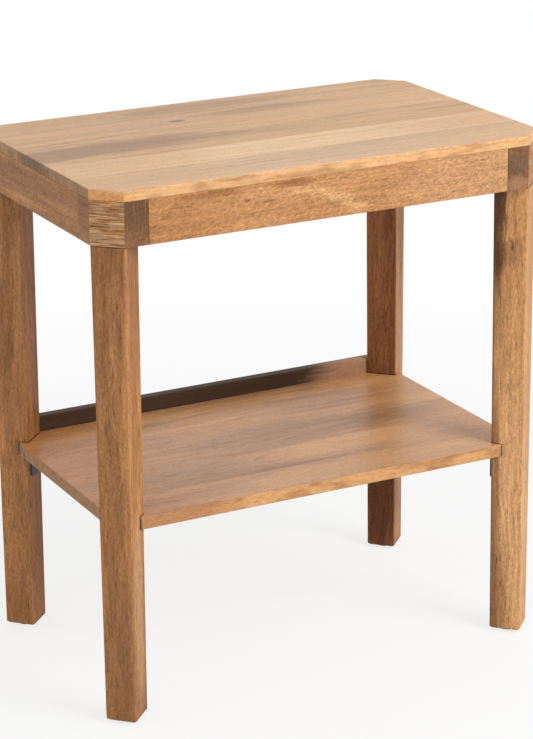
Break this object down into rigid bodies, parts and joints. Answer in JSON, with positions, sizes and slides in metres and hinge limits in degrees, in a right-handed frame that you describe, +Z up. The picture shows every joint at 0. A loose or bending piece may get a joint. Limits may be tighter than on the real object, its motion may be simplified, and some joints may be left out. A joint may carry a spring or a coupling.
{
  "type": "side table",
  "caption": "Small wooden side table with a clipped-corner top on a shallow frame, square legs set diagonally at the corners, and a low notched shelf with a rail along its back.",
  "frame": {"origin": "bottom centre of the bounding box: on the floor, midway between the feet", "axes": "+X along the table towards its right end, +Y from the front to the back with the rail, +Z up"},
  "size_m": [0.56, 0.35, 0.615],
  "materials": {
    "top_wood": "fine satin oil",
    "frame_wood": "fine satin oil",
    "leg_wood": "fine satin oil",
    "shelf_wood": "fine satin oil",
    "bracket_steel": "dark satin",
    "zinc_steel": "zinc plated",
    "glide_nylon": "matt"
  },
  "bodies": {
    "root": {"top_board_1": "top_wood", "top_board_2": "top_wood", "top_board_3": "top_wood", "top_board_4": "top_wood", "top_board_5": "top_wood", "front_apron": "frame_wood", "rear_apron": "frame_wood", "left_apron": "frame_wood", "right_apron": "frame_wood", "front_left_block": "frame_wood", "front_right_block": "frame_wood", "rear_right_block": "frame_wood", "rear_left_block": "frame_wood", "front_left_leg": "leg_wood", "front_right_leg": "leg_wood", "rear_right_leg": "leg_wood", "rear_left_leg": "leg_wood", "shelf_board_1": "shelf_wood", "shelf_board_2": "shelf_wood", "shelf_board_3": "shelf_wood", "shelf_board_4": "shelf_wood", "shelf_board_5": "shelf_wood", "rear_rail": "shelf_wood", "front_left_bracket": "bracket_steel", "front_right_bracket": "bracket_steel", "rear_right_bracket": "bracket_steel", "rear_left_bracket": "bracket_steel", "leg_bolts": "zinc_steel", "leg_inserts": "zinc_steel", "bracket_screws": "zinc_steel", "front_left_glide": "glide_nylon", "front_right_glide": "glide_nylon", "rear_right_glide": "glide_nylon", "rear_left_glide": "glide_nylon"}
  },
  "joints": []
}
